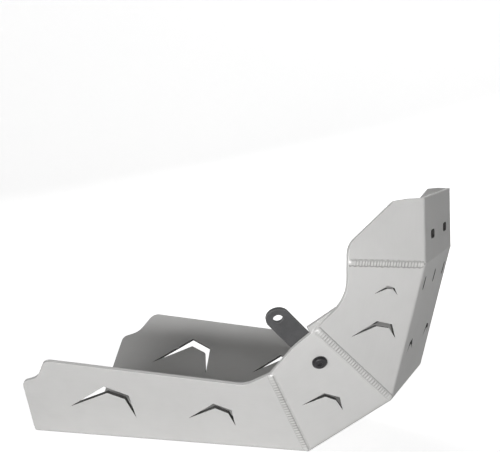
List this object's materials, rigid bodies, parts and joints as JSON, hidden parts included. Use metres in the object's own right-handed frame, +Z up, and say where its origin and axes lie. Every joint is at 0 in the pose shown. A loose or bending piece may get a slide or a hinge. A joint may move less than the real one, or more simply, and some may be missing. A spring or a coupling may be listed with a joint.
{
  "type": "motorcycle skid plate",
  "caption": "Folded aluminium guard for the underside and front of a motorcycle engine, with flared wings, ripple welds, arrow cut-outs and steel side bars.",
  "frame": {"origin": "centre of the footprint, on the plane of the bottom panel's underside", "axes": "+X forward, the way the motorcycle travels; +Y to the rider's left; +Z up"},
  "size_m": [0.449, 0.4454, 0.2831],
  "materials": {
    "anodised_sheet": "fine satin anodised",
    "dark_steel": "satin powder coat",
    "black_steel": "black oxide"
  },
  "bodies": {
    "root": {"guard_shell": "anodised_sheet", "side_bracket_right": "dark_steel", "side_washer_right": "black_steel", "side_bolt_right": "black_steel", "side_nut_right": "black_steel", "side_bracket_left": "dark_steel", "side_washer_left": "black_steel", "side_bolt_left": "black_steel", "side_nut_left": "black_steel"}
  },
  "joints": []
}
